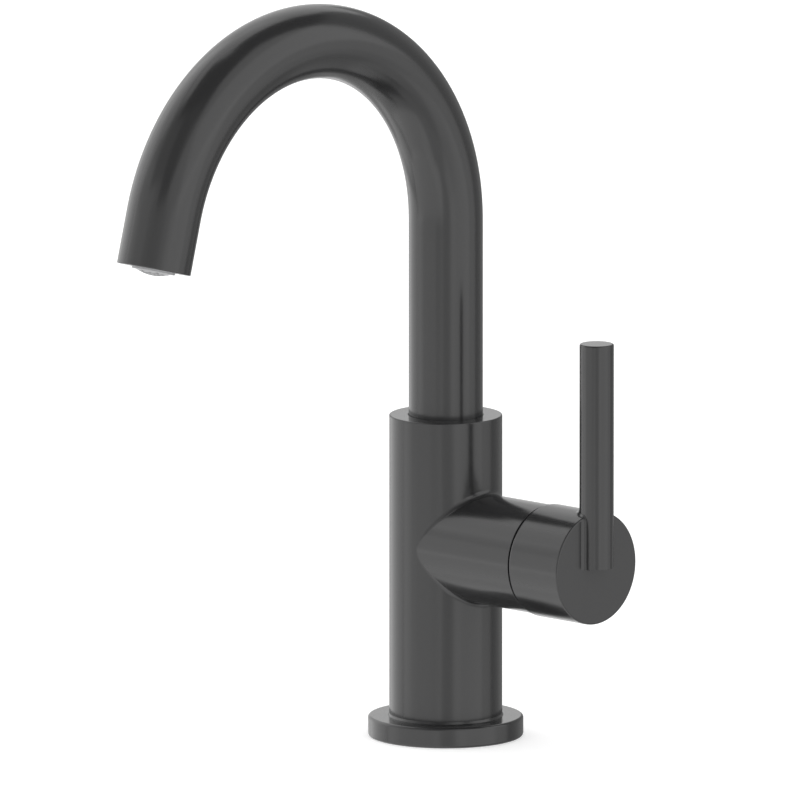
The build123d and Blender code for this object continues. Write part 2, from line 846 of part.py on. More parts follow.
nodes = {
    "deck_flange": make_deck_flange(),
    "flange_seal": make_flange_seal(),
    "valve_body": make_valve_body(),
    "base_plug": make_base_plug(),
    "base_plug_seal": make_base_plug_seal(),
    "base_plug_screws": make_base_plug_screws(),
    "cold_inlet_tube": make_inlet_tube(-1),
    "hot_inlet_tube": make_inlet_tube(1),
    "inlet_tube_seals": make_inlet_tube_seals(),
    "spout_thrust_washer": make_spout_thrust_washer(),
    "spout_guide_ring": make_spout_guide_ring(),
    "spout_stop_screw": make_spout_stop_screw(),
    "spout_tube": make_spout_tube(),
    "spout_journal": make_spout_journal(),
    "spout_seals": make_spout_seals(),
    "outlet_ring": make_outlet_ring(),
    "aerator_washer": make_aerator_washer(),
    "flow_regulator": make_flow_regulator(),
    "aerator_housing": make_aerator_housing(),
    "aerator_core": make_aerator_core(),
    "cartridge_base": make_cartridge_base(),
    "port_seals": make_port_seals(),
    "fixed_disc": make_fixed_disc(),
    "cartridge_housing": make_cartridge_housing(),
    "cartridge_nut": make_cartridge_nut(),
    "bonnet_ring": make_bonnet_ring(),
    "lever_carrier": make_lever_carrier(),
    "carrier_seal": make_carrier_seal(),
    "pivot_pin": make_pivot_pin(),
    "disc_carrier": make_disc_carrier(),
    "moving_disc": make_moving_disc(),
    "lever_stem": make_lever_stem(),
    "handle_cap": make_handle_cap(),
    "lever_rod": make_lever_rod(),
    "lever_rod_screw": make_lever_screw(),
    "handle_grub_screw": make_handle_grub_screw(),
    "screw_hole_plug": make_screw_hole_plug(),
}

os.makedirs("parts", exist_ok=True)
for name, pieces in nodes.items():
    export_step(as_node(pieces), f"parts/{name}.step")

print(f"tilt pivot at {pivot_reach:.3f}, disc travel {disc_travel:.4f} over {full_tilt:.5f} rad")
print(f"cap rim bore {cap_rim_bore:.3f}, outlet at {outlet_centre.Y:.3f}, {outlet_centre.Z:.3f}")
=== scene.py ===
"""Single-hole basin faucet: dressed pieces, finishes, floor, studio light and camera.

Pieces are drawn in millimetres and end up in metres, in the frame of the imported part:
the origin is the centre of the deck flange's underside, +Z is up, the spout points to
-Y and the handle's hub points to +X.
"""

import logging
import math
from collections.abc import Sequence
from dataclasses import dataclass
from enum import Enum

import bmesh
import bpy
from mathutils import Matrix, Vector


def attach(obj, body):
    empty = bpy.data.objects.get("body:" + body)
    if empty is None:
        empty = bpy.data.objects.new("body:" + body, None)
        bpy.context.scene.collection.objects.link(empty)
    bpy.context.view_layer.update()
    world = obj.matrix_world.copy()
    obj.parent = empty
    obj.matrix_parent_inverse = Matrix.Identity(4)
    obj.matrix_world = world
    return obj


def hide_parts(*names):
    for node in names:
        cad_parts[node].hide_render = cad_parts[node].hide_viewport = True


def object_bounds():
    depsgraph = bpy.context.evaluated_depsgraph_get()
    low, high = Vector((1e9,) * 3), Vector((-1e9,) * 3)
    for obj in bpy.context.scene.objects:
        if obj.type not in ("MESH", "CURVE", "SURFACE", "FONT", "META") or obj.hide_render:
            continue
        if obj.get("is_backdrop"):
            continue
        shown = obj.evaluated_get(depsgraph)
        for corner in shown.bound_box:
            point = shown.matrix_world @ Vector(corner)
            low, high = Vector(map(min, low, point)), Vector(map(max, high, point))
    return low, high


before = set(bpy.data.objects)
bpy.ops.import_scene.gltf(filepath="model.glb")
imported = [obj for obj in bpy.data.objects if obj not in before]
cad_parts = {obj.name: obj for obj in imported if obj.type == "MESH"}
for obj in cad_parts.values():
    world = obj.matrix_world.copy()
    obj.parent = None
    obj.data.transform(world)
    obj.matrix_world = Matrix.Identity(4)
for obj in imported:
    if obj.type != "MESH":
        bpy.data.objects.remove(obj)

log = logging.getLogger("faucet")

MM = 0.001

Point = tuple[float, float]
Color = tuple[float, float, float]


class Wire:
    """An output of a node, on which Python's arithmetic adds Math nodes."""

    def __init__(self, graph: "Graph", socket: bpy.types.NodeSocket) -> None:
        """Keep the socket and the graph that it belongs to."""
        self.graph = graph
        self.socket = socket

    def math(self, operation: str, first: "Value", second: "Value" = 0.0) -> "Wire":
        """Add one Math node.

        Args:
            operation: The node's operation.
            first: Its first value.
            second: Its second value.

        Returns:
            The node's result.
        """
        inputs = {0: first, 1: second}
        return self.graph.node("ShaderNodeMath", {"operation": operation}, inputs)[0]

    def __add__(self, other: "Value") -> "Wire":
        """This plus other."""
        return self.math("ADD", self, other)

    def __radd__(self, other: "Value") -> "Wire":
        """Other plus this."""
        return self.math("ADD", other, self)

    def __sub__(self, other: "Value") -> "Wire":
        """This minus other."""
        return self.math("SUBTRACT", self, other)

    def __rsub__(self, other: "Value") -> "Wire":
        """Other minus this."""
        return self.math("SUBTRACT", other, self)

    def __mul__(self, other: "Value") -> "Wire":
        """This times other."""
        return self.math("MULTIPLY", self, other)

    def __rmul__(self, other: "Value") -> "Wire":
        """Other times this."""
        return self.math("MULTIPLY", other, self)

    def __truediv__(self, other: "Value") -> "Wire":
        """This divided by other."""
        return self.math("DIVIDE", self, other)

    def __rtruediv__(self, other: "Value") -> "Wire":
        """Other divided by this."""
        return self.math("DIVIDE", other, self)

    def at_least(self, other: "Value") -> "Wire":
        """The greater of this and other."""
        return self.math("MAXIMUM", self, other)

    def at_most(self, other: "Value") -> "Wire":
        """The smaller of this and other."""
        return self.math("MINIMUM", self, other)

    def sine(self) -> "Wire":
        """The sine of this angle."""
        return self.math("SINE", self)

    def cosine(self) -> "Wire":
        """The cosine of this angle."""
        return self.math("COSINE", self)


Value = Wire | float


class Made:
    """A node that has been added, whose outputs are picked by index or name."""

    def __init__(self, graph: "Graph", node: bpy.types.Node) -> None:
        """Keep the node and its graph."""
        self.graph = graph
        self.node = node

    def __getitem__(self, key: int | str) -> Wire:
        """The output with this index, name or identifier."""
        return Wire(self.graph, Graph.find(self.node.outputs, key))


class Graph:
    """A node tree that is built by calls."""

    def __init__(self, tree: bpy.types.NodeTree) -> None:
        """Keep the tree that the nodes go into."""
        self.tree = tree

    @staticmethod
    def find(sockets: Sequence[bpy.types.NodeSocket], key: int | str) -> bpy.types.NodeSocket:
        """Find a socket.

        Args:
            sockets: A node's inputs or outputs.
            key: The socket's index, identifier or name.

        Returns:
            The socket.
        """
        if isinstance(key, int):
            return sockets[key]
        for socket in sockets:
            if socket.identifier == key:
                return socket
        return next(socket for socket in sockets if socket.name == key)

    def node(self, kind: str, settings: dict | None = None, inputs: dict | None = None) -> Made:
        """Add a node.

        Args:
            kind: The node's type.
            settings: Its properties; "stops" fills a colour ramp.
            inputs: Values or wires for its sockets, by index, identifier or name.

        Returns:
            The node.
        """
        made = self.tree.nodes.new(kind)
        for name, value in (settings or {}).items():
            if name == "stops":
                self.fill_ramp(made.color_ramp, value)
            else:
                setattr(made, name, value)
        for key, value in (inputs or {}).items():
            socket = self.find(made.inputs, key)
            if isinstance(value, Wire):
                self.tree.links.new(value.socket, socket)
            else:
                socket.default_value = value
        return Made(self, made)

    @staticmethod
    def fill_ramp(ramp: bpy.types.ColorRamp, stops: Sequence[tuple[float, float]]) -> None:
        """Give a colour ramp its stops.

        Args:
            ramp: The ramp.
            stops: Each stop's place and its level of grey.
        """
        while len(ramp.elements) < len(stops):
            ramp.elements.new(0.5)
        for element, (place, level) in zip(ramp.elements, stops):
            element.position = place
            element.color = (level, level, level, 1.0)

    def noise(self, vector: Wire, scale: float, detail: float = 2.0) -> Wire:
        """Add a noise texture.

        Args:
            vector: The coordinates.
            scale: Cells to the metre.
            detail: Octaves.

        Returns:
            The noise, 0.5 on average.
        """
        inputs = {"Vector": vector, "Scale": scale, "Detail": detail, "Roughness": 0.5}
        return self.node("ShaderNodeTexNoise", {"noise_dimensions": "3D"}, inputs)["Fac"]

    def stretched(self, vector: Wire, scale: Sequence[float]) -> Wire:
        """Stretch coordinates.

        Args:
            vector: The coordinates.
            scale: The factor along each axis.

        Returns:
            The stretched coordinates.
        """
        inputs = {"Vector": vector, "Scale": scale}
        return self.node("ShaderNodeMapping", {"vector_type": "POINT"}, inputs)[0]

    def blend(self, factor: Wire, low: Color, high: Color) -> Wire:
        """Mix two colours.

        Args:
            factor: 0 for low, 1 for high.
            low: The first colour.
            high: The second colour.

        Returns:
            The mixed colour.
        """
        inputs = {"Factor_Float": factor, "A_Color": (*low, 1.0), "B_Color": (*high, 1.0)}
        settings = {"data_type": "RGBA", "clamp_factor": True}
        return self.node("ShaderNodeMix", settings, inputs)["Result_Color"]


def empty_material(name: str) -> tuple[bpy.types.Material, Graph]:
    """Start a material with no nodes.

    Args:
        name: Its name.

    Returns:
        The material and its tree.
    """
    material = bpy.data.materials.new(name)
    material.use_nodes = True
    material.node_tree.nodes.clear()
    return material, Graph(material.node_tree)


class Grain(Enum):
    """The way that a worked surface's fine lines run round its piece."""

    UPRIGHT = (1.0, 1.0, 40.0)
    ALONG_HUB = (40.0, 1.0, 1.0)
    EVEN = (1.0, 1.0, 1.0)


# The pattern of every finish: the octaves of its slow and its fine noise, the slow one's
# share of the colour's pattern, and where that pattern is fully dark and fully light.
CLOUD_DETAIL = 3.0
GRAIN_DETAIL = 2.0
CLOUD_SHARE = 0.7
SHADE_STOPS = ((0.3, 0.0), (0.7, 1.0))


@dataclass(frozen=True)
class Finish:
    """A surface finish: colour, gloss and fine pattern.

    Attributes:
        slot: The record's material slot.
        color: The middle colour.
        roughness: The middle roughness.
        metallic: 1 for bare metal.
        specular: The strength of a coat's or plastic's reflection.
        tone: The share by which the colour varies.
        cloud_scale: Cells to the metre of the slow variation.
        grain_scale: Cells to the metre of the fine pattern.
        relief: The fine pattern's depth in millimetres.
        gloss_change: How far the roughness varies.
        grain: The way the fine lines run.
    """

    slot: str
    color: Color
    roughness: float
    metallic: float = 0.0
    specular: float = 0.5
    tone: float = 0.06
    cloud_scale: float = 26.0
    grain_scale: float = 900.0
    relief: float = 0.004
    gloss_change: float = 0.08
    grain: Grain = Grain.EVEN

    def shades(self) -> tuple[Color, Color]:
        """Give the shades that the surface varies between.

        Returns:
            Its darkest and its lightest colour.
        """
        dark = tuple(channel * (1 - self.tone) for channel in self.color)
        light = tuple(min(1.0, channel * (1 + self.tone)) for channel in self.color)
        return dark, light

    def material(self) -> bpy.types.Material:
        """Build the finish's material, or find it if it has been built.

        Returns:
            The material.
        """
        name = f"{self.slot}_{self.grain.name.lower()}"
        made = bpy.data.materials.get(name)
        if made is None:
            made, graph = empty_material(name)
            self.dress(graph)
        return made

    def dress(self, graph: Graph) -> None:
        """Add the shader and its pattern to an empty material.

        Args:
            graph: The material's tree.
        """
        place = graph.node("ShaderNodeTexCoord")["Object"]
        cloud = graph.noise(place, self.cloud_scale, CLOUD_DETAIL)
        lines = graph.stretched(place, self.grain.value)
        fine = graph.noise(lines, self.grain_scale, GRAIN_DETAIL)
        height = {"Height": fine, "Strength": 1.0, "Distance": self.relief * MM}
        bump = graph.node("ShaderNodeBump", inputs=height)
        dark, light = self.shades()
        shader = graph.node(
            "ShaderNodeBsdfPrincipled",
            inputs={
                "Base Color": graph.blend(self.wear(graph, cloud, fine), dark, light),
                "Roughness": self.roughness + (cloud + fine - 1.0) * self.gloss_change,
                "Metallic": self.metallic,
                "Specular IOR Level": self.specular,
                "Normal": bump["Normal"],
            },
        )
        graph.node("ShaderNodeOutputMaterial", inputs={"Surface": shader["BSDF"]})

    def wear(self, graph: Graph, cloud: Wire, fine: Wire) -> Wire:
        """Say where the colour is darker or lighter.

        Args:
            graph: The material's tree.
            cloud: The slow variation.
            fine: The fine pattern.

        Returns:
            0 for the dark shade and 1 for the light one.
        """
        spread = cloud * CLOUD_SHARE + fine * (1.0 - CLOUD_SHARE)
        return graph.node("ShaderNodeValToRGB", {"stops": SHADE_STOPS}, {"Fac": spread})[0]


BRASS = (0.62, 0.44, 0.19)

SATIN_BLACK = Finish(
    "black_finish",
    (0.021, 0.021, 0.0215),
    0.2,
    tone=0.05,
    grain_scale=700.0,
    relief=0.002,
    gloss_change=0.04,
)
BRASS_UPRIGHT = Finish(
    "brass", BRASS, 0.34, 1.0, tone=0.1, grain_scale=120.0, relief=0.006, grain=Grain.UPRIGHT
)
BRASS_ALONG_HUB = Finish(
    "brass", BRASS, 0.34, 1.0, tone=0.1, grain_scale=120.0, relief=0.006, grain=Grain.ALONG_HUB
)
DRAWN_TUBE = Finish(
    "tube_brass", (0.66, 0.49, 0.24), 0.26, 1.0, tone=0.08, grain_scale=200.0, relief=0.003
)
RUBBER = Finish(
    "seal_rubber",
    (0.02, 0.02, 0.021),
    0.62,
    specular=0.4,
    tone=0.2,
    grain_scale=1500.0,
    relief=0.01,
)
WHITE_PLASTIC = Finish("white_plastic", (0.72, 0.72, 0.7), 0.42, tone=0.03, grain_scale=1200.0)
AERATOR_PLASTIC = Finish("aerator_plastic", (0.5, 0.5, 0.51), 0.4, tone=0.05, grain_scale=1100.0)
PLUG_PLASTIC = Finish(
    "plug_plastic", (0.04, 0.04, 0.041), 0.46, tone=0.08, grain_scale=1300.0, relief=0.006
)
DISC_CERAMIC = Finish(
    "disc_ceramic", (0.8, 0.78, 0.74), 0.16, tone=0.03, grain_scale=2200.0, relief=0.001
)
STEEL = Finish("steel", (0.56, 0.57, 0.58), 0.3, 1.0, tone=0.08, grain_scale=160.0)

SLOT_FINISHES = {
    finish.slot: finish
    for finish in (
        SATIN_BLACK,
        BRASS_UPRIGHT,
        DRAWN_TUBE,
        RUBBER,
        WHITE_PLASTIC,
        AERATOR_PLASTIC,
        PLUG_PLASTIC,
        DISC_CERAMIC,
        STEEL,
    )
}


@dataclass(frozen=True)
class Corner:
    """A corner of a turned outline.

    Attributes:
        radius: Distance from the axis, in millimetres.
        height: Place along the axis, in millimetres.
        rounding: Radius of the corner's rounding.
    """

    radius: float
    height: float
    rounding: float = 0.0


class Outline:
    """A turned piece's closed outline, with its corners rounded."""

    ARC_STEPS = 8

    def __init__(self, *corners: Corner) -> None:
        """Round the corners.

        Args:
            corners: The corners in order, anticlockwise with radius to the right.
        """
        self.points: list[Point] = []
        for index, corner in enumerate(corners):
            before = corners[index - 1]
            after = corners[(index + 1) % len(corners)]
            self.points += self.arc(before, corner, after)

    @classmethod
    def arc(cls, before: Corner, corner: Corner, after: Corner) -> list[Point]:
        """Give the points of one corner's rounding.

        Args:
            before: The corner before it.
            corner: The corner.
            after: The corner after it.

        Returns:
            The rounding's points, or the corner itself.
        """
        here = Vector((corner.radius, corner.height))
        if corner.rounding == 0.0:
            return [tuple(here)]
        back = (Vector((before.radius, before.height)) - here).normalized()
        ahead = (Vector((after.radius, after.height)) - here).normalized()
        half = back.angle(ahead) / 2
        start = here + back * corner.rounding / math.tan(half)
        end = here + ahead * corner.rounding / math.tan(half)
        centre = here + (back + ahead).normalized() * corner.rounding / math.sin(half)
        points = []
        for step in range(cls.ARC_STEPS + 1):
            chord = start.lerp(end, step / cls.ARC_STEPS)
            points.append(tuple(centre + (chord - centre).normalized() * corner.rounding))
        return points

    def divided(self, longest: float) -> list[Point]:
        """Give the outline with its long sides divided.

        Args:
            longest: The longest side allowed, in millimetres.

        Returns:
            The points.
        """
        points = []
        for index, point in enumerate(self.points):
            after = Vector(self.points[(index + 1) % len(self.points)])
            count = max(1, math.ceil((after - Vector(point)).length / longest))
            points += [tuple(Vector(point).lerp(after, step / count)) for step in range(count)]
        return points


class Workshop:
    """Makes pieces' meshes and hangs them on the frame."""

    SEGMENTS = 96
    SMOOTH_ANGLE = math.radians(32)
    ON_AXIS = 1e-6
    FLAT_WEIGHT = 100

    @classmethod
    def turned(
        cls, name: str, points: Sequence[Point], place: Matrix = Matrix.Identity(4)
    ) -> bpy.types.Object:
        """Turn a closed outline about the Z axis.

        Args:
            name: The piece's name.
            points: The outline as (radius, height) in millimetres. A point on the axis
                becomes a pole.
            place: Where the piece goes, in millimetres.

        Returns:
            The piece.
        """
        made = bmesh.new()
        rings = []
        for radius, height in points:
            if radius < cls.ON_AXIS:
                pole = made.verts.new(place @ Vector((0, 0, height)) * MM)
                rings.append([pole] * cls.SEGMENTS)
                continue
            ring = []
            for segment in range(cls.SEGMENTS):
                angle = math.tau * segment / cls.SEGMENTS
                spot = Vector((radius * math.cos(angle), radius * math.sin(angle), height))
                ring.append(made.verts.new(place @ spot * MM))
            rings.append(ring)
        for index, ring in enumerate(rings):
            above = rings[(index + 1) % len(rings)]
            for segment in range(cls.SEGMENTS):
                after = (segment + 1) % cls.SEGMENTS
                corners = (ring[segment], ring[after], above[after], above[segment])
                apart = list(dict.fromkeys(corners))
                if len(apart) > 2:
                    made.faces.new(apart)
        bmesh.ops.recalc_face_normals(made, faces=made.faces)
        mesh = bpy.data.meshes.new(name)
        made.to_mesh(mesh)
        made.free()
        return cls.shown(name, mesh)

    @classmethod
    def shown(cls, name: str, mesh: bpy.types.Mesh) -> bpy.types.Object:
        """Put a mesh into the scene, smooth but for its sharp edges.

        Args:
            name: The piece's name.
            mesh: Its mesh.

        Returns:
            The piece.
        """
        piece = bpy.data.objects.new(name, mesh)
        bpy.context.scene.collection.objects.link(piece)
        cls.smoothed(piece)
        return piece

    @classmethod
    def smoothed(cls, piece: bpy.types.Object) -> None:
        """Shade a piece smooth and mark its sharp edges.

        Args:
            piece: The piece.
        """
        piece.data.shade_smooth()
        piece.data.set_sharp_from_angle(angle=cls.SMOOTH_ANGLE)

    @classmethod
    def weighted(cls, piece: bpy.types.Object) -> None:
        """Let the large faces set the normals, so that flats next to a rounding stay flat.

        Args:
            piece: The piece.
        """
        modifier = piece.modifiers.new("flats_stay_flat", "WEIGHTED_NORMAL")
        modifier.keep_sharp = True
        modifier.weight = cls.FLAT_WEIGHT

    @classmethod
    def applied(cls, piece: bpy.types.Object) -> None:
        """Turn what the piece's modifiers make into its plain mesh.

        Args:
            piece: The piece.
        """
        bpy.context.view_layer.update()
        seen = piece.evaluated_get(bpy.context.evaluated_depsgraph_get())
        mesh = bpy.data.meshes.new_from_object(seen)
        piece.modifiers.clear()
        piece.data = mesh
        mesh.name = piece.name
        cls.smoothed(piece)

    @classmethod
    def fitted(cls, piece: bpy.types.Object, finish: Finish, body: str, *nodes: str) -> None:
        """Dress a piece, let it ride on its body and stand for its nodes.

        Args:
            piece: The piece.
            finish: Its finish.
            body: The body that it moves with.
            nodes: The CAD nodes that it replaces.
        """
        piece.data.materials.clear()
        piece.data.materials.append(finish.material())
        cls.weighted(piece)
        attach(piece, body)
        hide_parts(*nodes)
        faces = len(piece.data.polygons)
        log.info("%s: %d faces, on %s, for %s", piece.name, faces, body, ", ".join(nodes))


class NodeTool:
    """A geometry-node tree with named inputs, run once on a piece."""

    def __init__(self, name: str, sizes: dict[str, float]) -> None:
        """Start the tree.

        Args:
            name: The tree's name.
            sizes: Its named inputs and their values, in metres or radians.
        """
        self.sizes = sizes
        self.tree = bpy.data.node_groups.new(name, "GeometryNodeTree")
        self.tree.interface.new_socket(
            "Geometry", in_out="OUTPUT", socket_type="NodeSocketGeometry"
        )
        self.add_input("Geometry", "NodeSocketGeometry")
        self.keys = {"Finish": self.add_input("Finish", "NodeSocketMaterial")}
        for size in sizes:
            self.keys[size] = self.add_input(size, "NodeSocketFloat")
        self.graph = Graph(self.tree)
        self.given = self.graph.node("NodeGroupInput")

    def add_input(self, name: str, kind: str) -> str:
        """Add an input to the tree.

        Args:
            name: Its name.
            kind: Its socket's type.

        Returns:
            The identifier by which a modifier sets it.
        """
        face = self.tree.interface
        return face.new_socket(name, in_out="INPUT", socket_type=kind).identifier

    def finish_tree(self, geometry: Wire) -> None:
        """End the tree with plain geometry in the piece's finish.

        Args:
            geometry: What the tree has made.
        """
        plain = self.graph.node("GeometryNodeRealizeInstances", inputs={"Geometry": geometry})[0]
        inputs = {"Geometry": plain, "Material": self.given["Finish"]}
        dressed = self.graph.node("GeometryNodeSetMaterial", inputs=inputs)[0]
        self.graph.node("NodeGroupOutput", inputs={"Geometry": dressed})

    def run(self, piece: bpy.types.Object, finish: Finish) -> None:
        """Run the tree on a piece and keep its result as the piece's mesh.

        Args:
            piece: The piece.
            finish: The piece's finish.
        """
        modifier = piece.modifiers.new(self.tree.name, "NODES")
        modifier.node_group = self.tree
        modifier[self.keys["Finish"]] = finish.material()
        for size, value in self.sizes.items():
            modifier[self.keys[size]] = value
        Workshop.applied(piece)


class TubeBender(NodeTool):
    """Bends a straight upright tube along the spout's riser, arc and tail."""

    def __init__(self, height: float, radius: float, angle: float) -> None:
        """Build the tree.

        Args:
            height: Where the arc starts, in metres.
            radius: The arc's radius, in metres.
            angle: The arc's angle, in radians.
        """
        sizes = {"Bend Height": height, "Bend Radius": radius, "Bend Angle": angle}
        super().__init__("tube_bender", sizes)
        start = self.given["Bend Height"]
        bend = self.given["Bend Radius"]
        place = self.graph.node("GeometryNodeInputPosition")[0]
        apart = self.graph.node("ShaderNodeSeparateXYZ", inputs={0: place})
        above = (apart["Z"] - start).at_least(0.0)
        turn = (above / bend).at_most(self.given["Bend Angle"])
        tail = above - turn * bend
        reach = apart["Y"] + bend
        across = reach * turn.cosine() - bend - tail * turn.sine()
        up = apart["Z"].at_most(start) + reach * turn.sine() + tail * turn.cosine()
        parts = {"X": apart["X"], "Y": across, "Z": up}
        bent = self.graph.node("ShaderNodeCombineXYZ", inputs=parts)[0]
        inputs = {"Geometry": self.given["Geometry"], "Position": bent}
        self.finish_tree(self.graph.node("GeometryNodeSetPosition", inputs=inputs)[0])


class CombCutter(NodeTool):
    """Cuts a honeycomb of six-sided cells into the end of a round core."""

    SIDES = 6
    SPARE_ROWS = 3
    WIDTH_TO_RADIUS = 1 / math.sqrt(3)
    ROW_STEP = math.sqrt(3) / 2
    ROW_SHIFT = 0.5

    def __init__(self, radius: float, cell: float, web: float, low: float, high: float) -> None:
        """Build the tree.

        Args:
            radius: How far from the axis a cell's centre may lie, in metres.
            cell: A cell's width across flats, in metres.
            web: The wall between cells, in metres.
            low: Where the cells end, in metres along the axis.
            high: Where the cutters start, above the core.
        """
        sizes = {
            "Comb Radius": radius,
            "Cell Width": cell,
            "Web": web,
            "Cell Floor": low,
            "Cell Top": high,
        }
        super().__init__("comb_cutter", sizes)
        pitch = self.given["Cell Width"] + self.given["Web"]
        rows = 2 * math.ceil(radius / (cell + web)) + self.SPARE_ROWS
        copies = self.graph.node(
            "GeometryNodeInstanceOnPoints",
            inputs={"Points": self.hexagonal_points(pitch, rows), "Instance": self.cell_cutter()},
        )[0]
        cells = self.graph.node("GeometryNodeRealizeInstances", inputs={"Geometry": copies})[0]
        cut = self.graph.node(
            "GeometryNodeMeshBoolean",
            {"operation": "DIFFERENCE", "solver": "EXACT"},
            {0: self.given["Geometry"], 1: cells},
        )[0]
        self.finish_tree(cut)

    def cell_cutter(self) -> Wire:
        """Make the six-sided rod that cuts one cell.

        Returns:
            The rod, from the cells' floor to above the core.
        """
        low, high = self.given["Cell Floor"], self.given["Cell Top"]
        rod = self.graph.node(
            "GeometryNodeMeshCylinder",
            {"fill_type": "NGON"},
            {
                "Vertices": self.SIDES,
                "Radius": self.given["Cell Width"] * self.WIDTH_TO_RADIUS,
                "Depth": high - low,
            },
        )["Mesh"]
        lift = self.graph.node("ShaderNodeCombineXYZ", inputs={"Z": (high + low) * 0.5})[0]
        half_turn = (0.0, 0.0, math.pi / self.SIDES)
        inputs = {"Geometry": rod, "Translation": lift, "Rotation": half_turn}
        return self.graph.node("GeometryNodeTransform", inputs=inputs)[0]

    def hexagonal_points(self, pitch: Wire, rows: int) -> Wire:
        """Make a round patch of points in rows that are shifted by half a step.

        Args:
            pitch: The step between neighbours.
            rows: Rows and columns before the patch is trimmed round.

        Returns:
            The points.
        """
        span = pitch * float(rows - 1)
        sizes = {"Size X": span, "Size Y": span, "Vertices X": rows, "Vertices Y": rows}
        grid = self.graph.node("GeometryNodeMeshGrid", inputs=sizes)["Mesh"]
        place = self.graph.node("GeometryNodeInputPosition")[0]
        apart = self.graph.node("ShaderNodeSeparateXYZ", inputs={0: place})
        across = apart["X"] + apart["Y"] * self.ROW_SHIFT
        parts = {"X": across, "Y": apart["Y"] * self.ROW_STEP}
        shifted = self.graph.node("ShaderNodeCombineXYZ", inputs=parts)[0]
        inputs = {"Geometry": grid, "Position": shifted}
        slanted = self.graph.node("GeometryNodeSetPosition", inputs=inputs)[0]
        length = self.graph.node("ShaderNodeVectorMath", {"operation": "LENGTH"}, {0: place})
        outside = self.graph.node(
            "FunctionNodeCompare",
            {"operation": "GREATER_THAN"},
            {0: length["Value"], 1: self.given["Comb Radius"]},
        )[0]
        inputs = {"Geometry": slanted, "Selection": outside}
        return self.graph.node("GeometryNodeDeleteGeometry", {"domain": "POINT"}, inputs)[0]


@dataclass
class SpoutTube:
    """The round spout: riser, arc and tail, bent from one straight tube.

    Attributes:
        radius: The tube's outer radius.
        wall: Its wall.
        foot: Height of its lower end, inside the body.
        bend_height: Where the arc starts.
        bend_radius: The arc's radius.
        bend_angle: The arc's angle in degrees.
        tail: Length of the straight tail.
        lip: Rounding of the outlet's outer edge.
        lip_inside: Rounding of its inner edge.
        ring_step: Longest step between rings along the tube.
    """

    radius: float = 13.5
    wall: float = 1.5
    foot: float = 104.8
    bend_height: float = 190.4
    bend_radius: float = 73.5
    bend_angle: float = 165.0
    tail: float = 20.0
    lip: float = 0.4
    lip_inside: float = 0.2
    ring_step: float = 3.0

    def outlet(self) -> Matrix:
        """Find the outlet's frame.

        Returns:
            The frame in millimetres, with Z out of the outlet and X across the spout.
        """
        angle = math.radians(self.bend_angle)
        sine, cosine = math.sin(angle), math.cos(angle)
        out = Vector((0, -sine, cosine))
        end = Vector((0, cosine - 1, sine)) * self.bend_radius + Vector((0, 0, self.bend_height))
        across = Vector((1, 0, 0))
        turn = Matrix((across, out.cross(across), out)).transposed().to_4x4()
        return Matrix.Translation(end + out * self.tail) @ turn

    def build(self) -> None:
        """Turn the straight tube, bend it and fit it."""
        angle = math.radians(self.bend_angle)
        end = self.bend_height + self.bend_radius * angle + self.tail
        inside = self.radius - self.wall
        outline = Outline(
            Corner(inside, self.foot),
            Corner(self.radius, self.foot),
            Corner(self.radius, end, self.lip),
            Corner(inside, end, self.lip_inside),
        )
        tube = Workshop.turned("spout_skin", outline.divided(self.ring_step))
        bender = TubeBender(self.bend_height * MM, self.bend_radius * MM, angle)
        bender.run(tube, SATIN_BLACK)
        Workshop.fitted(tube, SATIN_BLACK, "spout", "spout_tube")


